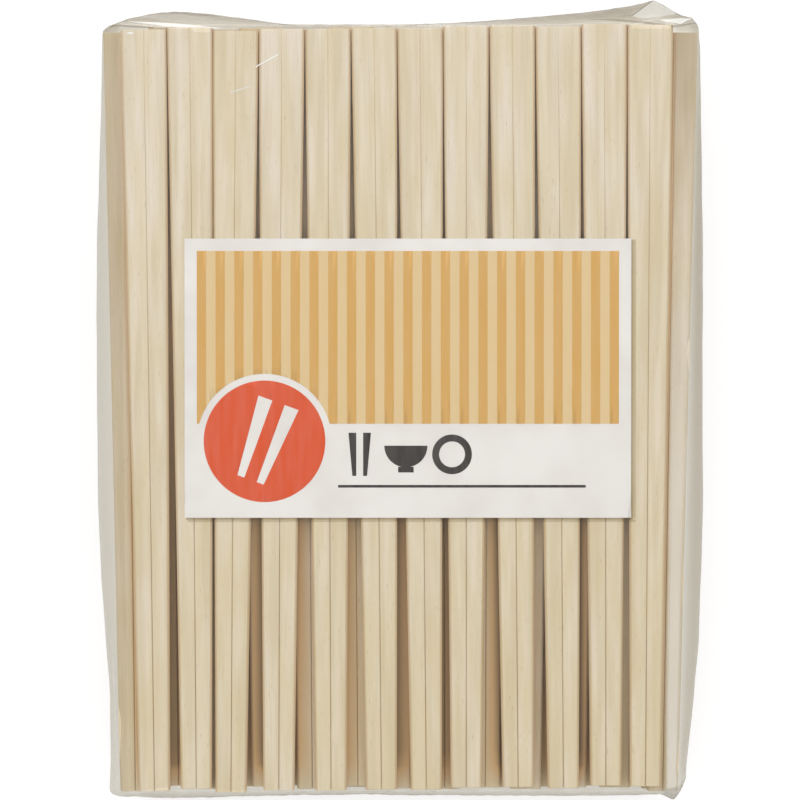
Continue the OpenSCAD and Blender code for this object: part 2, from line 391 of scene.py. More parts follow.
@dataclass(frozen=True)
class OffsetInk:
    """Offset ink on coated paper: even colour, a little glossier than the bare sheet.

    The eye gets a faint unevenness where the ink lies thinner, in drawn-out patches along the
    way that the sheet ran through the press.
    """

    ink: Ink
    roughness: float = 0.42
    patch_width: float = 1.8
    patch_length: float = 16.0
    thin_share: float = 0.05

    def material(self) -> bpy.types.Material:
        """Builds this ink's node material.

        Returns:
            The finished material.
        """
        material, add = new_material(f"offset_ink_{self.ink.name.lower()}")
        width, length = 1 / (self.patch_width * MM), 1 / (self.patch_length * MM)
        place = add("TexCoord").outputs["Object"]
        run = add("Mapping", {"Scale": (width, length, width)}, {"Vector": place})
        noise = {"Scale": 1.0, "Detail": 2.0}
        patches = add("TexNoise", noise, {"Vector": run})
        reach = {"From Min": 0.3, "From Max": 0.7, "To Max": self.thin_share}
        share = add("MapRange", reach, {"Value": patches})
        tones = {6: self.ink.value, 7: CoatedPaper.white}
        colour = add("Mix", {"data_type": "RGBA", **tones}, {"Factor": share}).outputs[2]
        finish = {"Roughness": self.roughness, "IOR": 1.5, "Specular IOR Level": 0.35}
        ink = add("BsdfPrincipled", finish, {"Base Color": colour})
        add("OutputMaterial", None, {"Surface": ink})
        return material


@dataclass(frozen=True)
class Ripples:
    """Seeded sum of sine waves, for folds and dents that are the same in every run."""

    seed: int
    shortest: float
    longest: float
    stretch: float = 1.0
    waves: int = 28

    def height(self, x: np.ndarray, y: np.ndarray) -> np.ndarray:
        """Gives the height of the ripples, mostly from -1 to 1.

        Args:
            x: Places across, in millimetres.
            y: Places along, in millimetres, where a wave is longer by the stretch.

        Returns:
            A height for each place.
        """
        rng = np.random.default_rng(self.seed)
        total = np.zeros(np.broadcast(x, y).shape)
        for _ in range(self.waves):
            length = rng.uniform(self.shortest, self.longest)
            turn = rng.uniform(0, math.pi)
            phase = rng.uniform(0, 2 * math.pi)
            across = math.cos(turn) * 2 * math.pi / length
            along = math.sin(turn) * 2 * math.pi / (length * self.stretch)
            total += np.sin(across * x + along * y + phase)
        return total / math.sqrt(self.waves)


def link_piece(name: str, mesh: bpy.types.Mesh) -> bpy.types.Object:
    """Puts a finished mesh into the scene with smooth faces.

    Args:
        name: Name of the piece.
        mesh: Its mesh.

    Returns:
        The linked object.
    """
    mesh.polygons.foreach_set("use_smooth", [True] * len(mesh.polygons))
    mesh.update()
    piece = bpy.data.objects.new(name, mesh)
    bpy.context.scene.collection.objects.link(piece)
    return piece


def make_piece(
    name: str, points: np.ndarray, faces: list[tuple[int, ...]], material: bpy.types.Material
) -> bpy.types.Object:
    """Makes a piece out of points and faces.

    Args:
        name: Name of the piece.
        points: Its points in millimetres.
        faces: Its faces as rows of point numbers.
        material: Its material.

    Returns:
        The linked object.
    """
    mesh = bpy.data.meshes.new(name)
    mesh.from_pydata((points * MM).tolist(), [], faces)
    mesh.materials.append(material)
    return link_piece(name, mesh)


def slice_mesh(
    shape: bmesh.types.BMesh, place: tuple[float, ...], way: tuple[float, ...], clear: bool = False
) -> None:
    """Cuts a mesh along a plane.

    Args:
        shape: The mesh.
        place: A point of the plane, in metres.
        way: The plane's outward direction.
        clear: Whether what lies outside the plane is deleted.
    """
    geom = [*shape.verts, *shape.edges, *shape.faces]
    bmesh.ops.bisect_plane(
        shape, geom=geom, dist=SNAP, plane_co=place, plane_no=way, clear_outer=clear
    )


def hand_over(piece: bpy.types.Object, slot: Slot, node: str | None = None) -> None:
    """Ties a finished piece to the pack.

    Args:
        piece: The piece.
        slot: Slot of the record for the piece; not used.
        node: CAD node that it stands for, if any.
    """
    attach(piece, BODY)
    if node:
        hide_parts(node)
    log.info("%s: %d faces, for %s", piece.name, len(piece.data.polygons), node or "no node")


def face_out(piece: bpy.types.Object) -> None:
    """Turns all faces of a closed piece outwards.

    Args:
        piece: The closed piece.
    """
    shape = bmesh.new()
    shape.from_mesh(piece.data)
    bmesh.ops.recalc_face_normals(shape, faces=shape.faces)
    shape.to_mesh(piece.data)
    shape.free()


def sharpen(piece: bpy.types.Object, angle: float) -> None:
    """Keeps edges over an angle sharp and gives flat faces an even shade.

    Args:
        piece: Piece with smooth faces.
        angle: Angle in degrees from which an edge counts as sharp.
    """
    piece.data.set_sharp_from_angle(angle=math.radians(angle))
    weighted = piece.modifiers.new("even_faces", "WEIGHTED_NORMAL")
    weighted.keep_sharp = True
    weighted.weight = 90


def set_attribute(
    piece: bpy.types.Object, name: str, values: np.ndarray, domain: str = "POINT"
) -> None:
    """Stores numbers or vectors on a mesh for its material, over any of the same name.

    Args:
        piece: Piece that gets them.
        name: Name that the material reads.
        values: One number or one row of three for each element.
        domain: "POINT" or "FACE".
    """
    vector = values.ndim == 2
    kind = "FLOAT_VECTOR" if vector else "FLOAT"
    old = piece.data.attributes.get(name)
    if old:
        piece.data.attributes.remove(old)
    attribute = piece.data.attributes.new(name, kind, domain)
    attribute.data.foreach_set("vector" if vector else "value", values.astype(np.float32).ravel())


def cad_points(node: str) -> np.ndarray:
    """Reads the distinct points of a CAD node.

    Args:
        node: Name of the node.

    Returns:
        Its points in millimetres, one row each.
    """
    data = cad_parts[node].data
    points = np.zeros(len(data.vertices) * 3)
    data.vertices.foreach_get("co", points)
    return np.unique((points.reshape(-1, 3) / MM).round(3), axis=0)


@dataclass
class ChopstickPair:
    """One pair where the CAD has it: two sticks in one piece, still joined at the head."""

    tip: np.ndarray
    head: np.ndarray
    across: np.ndarray
    up: np.ndarray
    tip_half: tuple[float, float]
    head_half: tuple[float, float]
    cut_end: float

    @property
    def length(self) -> float:
        """Length from tips to head."""
        return float(np.linalg.norm(self.head - self.tip))

    @property
    def along(self) -> np.ndarray:
        """Direction from tips to head."""
        return (self.head - self.tip) / self.length

    def edge(self, side: int, y: np.ndarray) -> np.ndarray:
        """Finds the pair's left or right edge.

        Args:
            side: -1 for the left edge, 1 for the right one.
            y: Places along Y.

        Returns:
            The edge's places in X.
        """
        share = (y - self.tip[1]) / (self.head[1] - self.tip[1])
        half = between((self.tip_half[0], self.head_half[0]), share)
        return between((self.tip[0], self.head[0]), share) + side * half


def read_pairs(node: str) -> list[ChopstickPair]:
    """Finds the pairs that a CAD node holds, from left to right.

    A pair has 16 points at its tips, 6 where the saw cut ends and 14 at its head.

    Args:
        node: Name of a node with one pair or a whole layer.

    Returns:
        The pairs with their places and sizes.
    """
    points = cad_points(node)
    points = points[np.argsort(points[:, 0])]
    y = points[:, 1]
    tips = points[y < TIP_ZONE].reshape(-1, 16, 3)
    heads = points[y > HEAD_ZONE].reshape(-1, 14, 3)
    cuts = points[(y > CUT_ZONE) & (y < HEAD_ZONE)].reshape(-1, 6, 3)
    pairs = []
    for tip_ring, head_ring, cut_ring in zip(tips, heads, cuts):
        tip, head = tip_ring.mean(0), head_ring.mean(0)
        side = head_ring[-2:].mean(0) - head_ring[:2].mean(0)
        across = side / np.linalg.norm(side)
        along = (head - tip) / np.linalg.norm(head - tip)
        up = np.cross(across, along)
        halves = [
            (float(np.ptp(ring @ across)) / 2, float(np.ptp(ring @ up)) / 2)
            for ring in (tip_ring, head_ring)
        ]
        cut_end = float((cut_ring.mean(0) - tip) @ along)
        pairs.append(ChopstickPair(tip, head, across, up, halves[0], halves[1], cut_end))
    return pairs


@dataclass
class PairWork:
    """How a pair is cut: bevels, groove, saw cut and ends, and the mesh that shows them."""

    bevel: float = 0.6
    groove: tuple[float, float] = (0.27, 0.15)
    cut_half: tuple[float, float] = (0.028, 0.004)
    edge_round: float = 0.13
    head_swell: float = 0.15
    end_swell: float = 0.07
    end_chamfer: float = 0.16
    most_bow: float = 0.1
    lip_edge: tuple[float, ...] = (0.25, 0.2, 0.06)
    bevel_edge: tuple[float, ...] = (0.05, 0.35, 0.75, 0.85, 0.55)
    web_edge: float = 0.3
    inner_edge: float = 0.15
    cut_share: float = 0.91
    places: tuple[float, ...] = (0.015, 0.03, 0.05, 0.1, 0.22, 0.36, 0.5, 0.64, 0.78)
    head_step: float = 2.0
    flat_steps: int = 7

    def half_ring(self, half_w: float, half_t: float, share: float) -> np.ndarray:
        """Outline of one stick from its inner upper lip round to its inner lower lip.

        Args:
            half_w: Half the pair's width.
            half_t: Half its thickness.
            share: Share of the way from tips to head.

        Returns:
            Rows of across and up, for the right stick.
        """
        g, b, r = between(self.groove, share), self.bevel, self.edge_round
        cut = between(self.cut_half, share)
        flat = np.linspace(g + r, half_w - b - r, self.flat_steps + 1)
        upper = [
            (cut, half_t - g + cut), (g - 0.9 * r, half_t - 0.9 * r),
            (g - 0.1 * r, half_t - 0.28 * r), *((float(u), half_t) for u in flat),
            (half_w - b + 0.25 * r, half_t - 0.4 * r), (half_w - b / 2, half_t - b / 2),
            (half_w - 0.4 * r, half_t - b + 0.25 * r), (half_w, half_t - b - r),
        ]
        return np.array(upper + [(u, -w) for u, w in reversed(upper)])

    def swell(self, share: float) -> float:
        """How far each side stands out, as damp wood does, less at the heads' very end."""
        return min(self.head_swell * share, self.end_swell + 1.0 - share)

    def edge_shares(self) -> np.ndarray:
        """Share of crushed edge tone at each point of half a ring."""
        upper = [*self.lip_edge, *[0.0] * self.flat_steps, *self.bevel_edge]
        return np.array(upper + upper[::-1])

    def stations(self, pair: ChopstickPair) -> list[tuple[float, float]]:
        """Chooses the places along a pair where its outline is drawn.

        Args:
            pair: The pair.

        Returns:
            Rows of place along the pair and how far the outline is drawn in there.
        """
        open_part = [(share * pair.cut_end / self.cut_share, 0.0) for share in self.places]
        return [
            (0.0, self.end_chamfer), (self.end_chamfer, 0.0), *open_part, (pair.cut_end, 0.0),
            ((pair.cut_end + pair.length) / 2, 0.0), (pair.length - self.head_step, 0.0),
            (pair.length - self.end_chamfer, 0.0), (pair.length, self.end_chamfer),
        ]

    def faces(self, count: int, cut: int) -> tuple[list[tuple[int, ...]], list[float]]:
        """Joins the stations of a pair.

        Args:
            count: Number of stations.
            cut: Number of the station where the saw cut ends.

        Returns:
            The faces, and for each face 1 where the saw went across the fibres, else 0.
        """
        n = len(self.edge_shares())
        left, upper = count * n, 2 * count * n
        lower = upper + count - cut
        faces: list[tuple[int, ...]] = []
        for j in range(count - 1):
            a, b = j * n, j * n + n - 1
            for i in range(a, b):
                faces.append((i, i + 1, i + 1 + n, i + n))
                faces.append((left + i + 1, left + i, left + i + n, left + i + 1 + n))
            if j < cut:
                faces.append((b, a, a + n, b + n))
                faces.append((left + a, left + b, left + b + n, left + a + n))
            else:
                u, w = upper + j - cut, lower + j - cut
                faces.append((u, a, a + n, u + 1))
                faces.append((left + a, u, u + 1, left + a + n))
                faces.append((b, w, w + 1, b + n))
                faces.append((w, left + b, left + b + n, w + 1))
        sawn = [0.0] * len(faces)
        right_tip = tuple(range(n - 1, -1, -1))
        left_tip = tuple(left + i for i in range(n))
        c = cut * n
        web = (c, upper, left + c, left + c + n - 1, lower, c + n - 1)
        last = (count - 1) * n
        head = (
            upper + count - cut - 1, *(last + i for i in range(n)), lower + count - cut - 1,
            *(left + last + i for i in range(n - 1, -1, -1)),
        )
        faces += [right_tip, left_tip, web, head]
        sawn += [1.0, 1.0, 1.0, 1.0]
        return faces, sawn


@dataclass
class RowShade:
    """Painted shade for wood under and beside an outer row, from 0 in the open to 2 in deep shadow.
    """

    row: list[ChopstickPair]
    # Painted shade at the left and right side of each gap, and beside the row's left and right
    # edges from tips to heads.
    gaps: tuple[tuple[float, float], ...] = ()
    beside: tuple[tuple[float, float], tuple[float, float]] = ((1.5, 0.4), (0.2, 2.2))
    reach: float = 1.4
    narrow: tuple[float, float] = (0.45, 0.85)
    narrow_share: float = 0.1
    tip_fade: float = 7.0
    head_fade: float = 1.5
    head_trim: float = 0.1

    def at(self, points: np.ndarray) -> np.ndarray:
        """Works out how much shade is painted on wood at places under or beside the row.

        Args:
            points: Places in the CAD frame.

        Returns:
            A painted shade for each place.
        """
        x, y = points[:, 0], points[:, 1]
        from_tips, from_heads = PAIR_LENGTH / 2 + y, PAIR_LENGTH / 2 - y
        share = from_tips / PAIR_LENGTH
        left, right = (between(ends, share) for ends in self.beside)
        edges = [pair.edge(side, y) for pair in self.row for side in (-1, 1)]
        gaps = self.gaps or ((1.0, 1.0),) * (len(self.row) - 1)
        paler = np.interp(share, self.narrow, (1.0, self.narrow_share))
        shade_levels = [left, *(d * paler for gap in gaps for d in gap), right]
        places = np.stack([edges[0] - self.reach, *edges, edges[-1] + self.reach], axis=1)
        shades = np.stack([0 * y, *shade_levels, 0 * y], axis=1)
        under = np.array([np.interp(*row) for row in zip(x, places, shades)])
        # The painted shade fades out towards the tips and just below the heads.
        under *= np.clip(from_tips / self.tip_fade, 0, 1)
        return under * np.clip((from_heads - self.head_trim) / self.head_fade, 0, 1)


@dataclass
class PairBuilder:
    """Builds pieces of one or more pairs, with the numbers that their wood needs."""

    work: PairWork
    wood: bpy.types.Material
    rng: np.random.Generator
    pair_tint: float = 0.55
    tint_spread: float = 1.6
    tip_tint: float = 0.5
    grain_shift: float = 500.0
    sharp_angle: float = 50.0

    def place(self, pair: ChopstickPair, swells: bool) -> tuple[np.ndarray, np.ndarray, np.ndarray]:
        """Works out a pair's points.

        Args:
            pair: The pair in the CAD frame.
            swells: Whether its sides stand out towards the head.

        Returns:
            Points in the CAD frame, the same points inside the stick, and edge shares.
        """
        stations = self.work.stations(pair)
        cut = len(self.work.places) + 2
        bow = self.rng.uniform(-1, 1) * self.work.most_bow
        right, left, upper, lower = [], [], [], []
        for j, (v, inset) in enumerate(stations):
            share = v / pair.length
            half_w, half_t = (between(ends, share) for ends in zip(pair.tip_half, pair.head_half))
            half_w += self.work.swell(share) * swells
            ring = self.work.half_ring(half_w, half_t, share)
            ring[:, 0] = between((ring[:, 0], half_w / 2), 2 * inset / half_w)
            ring[:, 1] *= 1 - inset / half_t
            shift = bow * math.sin(math.pi * share)
            for u, w in ring:
                right.append((shift + u, v, w))
                left.append((shift - u, v, w))
            if j >= cut:
                lip = (half_t - between(self.work.groove, share)) * (1 - inset / half_t)
                upper.append((shift, v, lip))
                lower.append((shift, v, -lip))
        inside = np.array(right + left + upper + lower)
        axes = np.array([pair.across, pair.along, pair.up])
        points = pair.tip + inside @ axes
        web = np.full(len(upper) + len(lower), self.work.web_edge)
        edges = np.concatenate([np.tile(self.work.edge_shares(), 2 * len(stations)), web])
        return points, inside, edges

    def build(
        self, name: str, pairs: list[ChopstickPair], cover: RowShade | None = None,
    ) -> bpy.types.Object:
        """Makes one piece out of pairs.

        Args:
            name: Name of the piece.
            pairs: The pairs in it.
            cover: Painted shade of the outer row over them.

        Returns:
            The finished piece.
        """
        cut = len(self.work.places) + 2
        pair_faces, pair_sawn = self.work.faces(cut + 5, cut)
        points, faces, sawn = [], [], []
        fields = {"grain": [], "edge": [], "tint": [], "buried": []}
        start = 0
        for pair in pairs:
            placed, inside, edge = self.place(pair, not cover)
            points.append(placed)
            fields["grain"].append(inside + self.rng.uniform(-1, 1, 3) * self.grain_shift)
            fields["edge"].append(edge * (self.work.inner_edge if cover else 1.0))
            tips = 1 - inside[:, 1] / pair.length
            own = self.rng.beta(self.tint_spread, self.tint_spread)
            fields["tint"].append(self.pair_tint * own + self.tip_tint * tips)
            # Painted shade from the outer row; the outer rows themselves get none.
            fields["buried"].append(cover.at(placed) if cover else np.zeros(len(placed)))
            faces += [tuple(i + start for i in face) for face in pair_faces]
            sawn += pair_sawn
            start += len(placed)
        piece = make_piece(name, np.concatenate(points), faces, self.wood)
        for field_name, rows in fields.items():
            set_attribute(piece, field_name, np.concatenate(rows))
        set_attribute(piece, "cut", np.array(sawn), "FACE")
        sharpen(piece, self.sharp_angle)
        return piece


@dataclass
class PairBundle:
    """The hundred pairs: front and back rows as single pieces, layers between as one each."""

    row_count: int = 12
    inner_layers: int = 6
    seed: int = 365
    pushed: tuple[float, float] = (1.1, 1.9)
    # Painted shade on the second layer at the left and right side of each gap in the front row,
    # from left to right.
    painted_gap_shades: tuple[tuple[float, float], ...] = (
        (1.5, 1.5), (0.4, 0.2), (0.5, 1.7), (1.2, 0.0), (1.0, 0.0), (1.6, 1.0),
        (1.4, 1.3), (0.0, 1.8), (0.3, 0.0), (2.0, 0.5), (0.0, 0.0),
    )
    front: list[ChopstickPair] = field(default_factory=list)
    back: list[ChopstickPair] = field(default_factory=list)

    def build(self) -> None:
        """Builds and dresses every pair."""
        builder = PairBuilder(
            PairWork(), PlanedAspen().material(), np.random.default_rng(self.seed)
        )
        for side, row in (("front", self.front), ("back", self.back)):
            for spot in range(1, self.row_count + 1):
                node = f"{side}_pair_{spot:02d}"
                row += read_pairs(node)
                piece = builder.build(f"{side}_chopsticks_{spot:02d}", row[-1:])
                hand_over(piece, Slot.WOOD, node)
        for layer in range(1, self.inner_layers + 1):
            node = f"inner_layer_{layer}"
            pairs = read_pairs(node)
            shade = RowShade(self.front)
            if layer == self.inner_layers:
                self.push_out(pairs[-1])
                shade.gaps = self.painted_gap_shades
            hand_over(builder.build(f"chopstick_layer_{layer}", pairs, shade), Slot.WOOD, node)

    def push_out(self, pair: ChopstickPair) -> None:
        """Lets the last pair of the second layer lie against the film, as it does in the photo."""
        pair.tip[0] += self.pushed[0]
        pair.head[0] += self.pushed[1]


def gap_dip(
    row: list[ChopstickPair], x: np.ndarray, y: np.ndarray, sag: float, spread: float
) -> np.ndarray:
    """Depth by which a sheet on a row of pairs dips between them.

    Args:
        row: Neighbouring pairs from left to right.
        x: Places across.
        y: Places along.
        sag: Depth for each millimetre of gap.
        spread: How far the dip reaches over the pairs beside a gap.

    Returns:
        Depth in millimetres for each place, never below 0.
    """
    dip = np.zeros(np.broadcast(x, y).shape)
    for left, right in zip(row, row[1:]):
        low, high = left.edge(1, y), right.edge(-1, y)
        half = (high - low) / 2
        near = np.clip(1 - ((x - (low + high) / 2) / (half + spread)) ** 2, 0, 1)
        dip = np.maximum(dip, sag * 2 * half * near**1.5)
    return dip


@dataclass
class LabelSlip:
    """The printed paper slip, draped over the front row, with its print in raised layers."""

    front: list[ChopstickPair]
    sag: float = 0.075
    spread: float = 2.2
    slice_x: float = 0.75
    slice_y: float = 5.0
    sharp_angle: float = 40.0
    nodes: tuple[tuple[str, str, Slot], ...] = (
        ("label_slip", "label_paper", Slot.PAPER),
        ("label_field", "label_field_print", Slot.LIGHT_OCHRE),
        ("label_stripes", "label_stripe_print", Slot.DARK_OCHRE),
        ("label_spot", "label_spot_print", Slot.ORANGE),
        ("label_signs", "label_sign_print", Slot.BLACK),
    )

    def dip(self, x: np.ndarray, y: np.ndarray) -> np.ndarray:
        """Depth by which the slip dips between the pairs."""
        return gap_dip(self.front, x, y, self.sag, self.spread)

    def material(self, slot: Slot) -> bpy.types.Material:
        """Finish of one of the slip's layers.

        Args:
            slot: Material slot of the layer.

        Returns:
            Its material.
        """
        if slot is Slot.PAPER:
            return CoatedPaper().material()
        return OffsetInk(Ink[slot.name]).material()

    def build(self) -> None:
        """Drapes the slip and its print."""
        for node, name, slot in self.nodes:
            hand_over(self.drape(node, name, self.material(slot)), slot, node)

    def drape(self, node: str, name: str, material: bpy.types.Material) -> bpy.types.Object:
        """Copies a flat CAD layer and lets it follow the pairs under it.

        Args:
            node: CAD node of the layer.
            name: Name of the piece.
            material: Finish of the layer.

        Returns:
            The draped piece.
        """
        shape = bmesh.new()
        shape.from_mesh(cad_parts[node].data)
        bmesh.ops.remove_doubles(shape, verts=shape.verts, dist=SNAP)
        low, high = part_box(node)
        for axis, step in ((0, self.slice_x * MM), (1, self.slice_y * MM)):
            way = tuple(float(i == axis) for i in range(3))
            for place in np.arange(low[axis] + step, high[axis] - step / 4, step):
                slice_mesh(shape, tuple(float(place) * w for w in way), way)
        mesh = bpy.data.meshes.new(name)
        shape.to_mesh(mesh)
        shape.free()
        points = np.zeros(len(mesh.vertices) * 3)
        mesh.vertices.foreach_get("co", points)
        points = points.reshape(-1, 3)
        points[:, 2] -= self.dip(points[:, 0] / MM, points[:, 1] / MM) * MM
        mesh.vertices.foreach_set("co", points.ravel())
        mesh.materials.clear()
        mesh.materials.append(material)
        mesh.polygons.foreach_set("material_index", [0] * len(mesh.polygons))
        piece = link_piece(name, mesh)
        mesh.set_sharp_from_angle(angle=math.radians(self.sharp_angle))
        return piece


@dataclass(frozen=True)
class Crease:
    """A fold of the film seen from the front, raised or sunk along a straight line."""

    start: tuple[float, float]
    end: tuple[float, float]
    height: float
    width: float
    fade_run: tuple[float, float] = (0.12, 0.92)
    fade_power: float = 0.7

    def lift(self, x: np.ndarray, y: np.ndarray) -> np.ndarray:
        """How far the fold lifts the film at each place.

        Args:
            x: Places across.
            y: Places along.

        Returns:
            A height for each place, below 0 where the fold is sunk.
        """
        a, b = np.array(self.start), np.array(self.end)
        run = b - a
        share = np.clip(((x - a[0]) * run[0] + (y - a[1]) * run[1]) / (run @ run), 0, 1)
        away = np.hypot(x - a[0] - share * run[0], y - a[1] - share * run[1])
        taper = np.sin(math.pi * between(self.fade_run, share)) ** self.fade_power
        return self.height * taper * np.clip(1 - away / self.width, 0, 1)


@dataclass(frozen=True)
class FoldAndPaintedLightFlap:
    """A patch of film laid on the bag, most of them painted light: its convex outline from the
    front, its white veil, which paints highlights, and its grey tint, which paints shade.
    """

    outline: tuple[tuple[float, float], ...]
    milk_and_painted_highlight: float
    dull_and_painted_shade: float


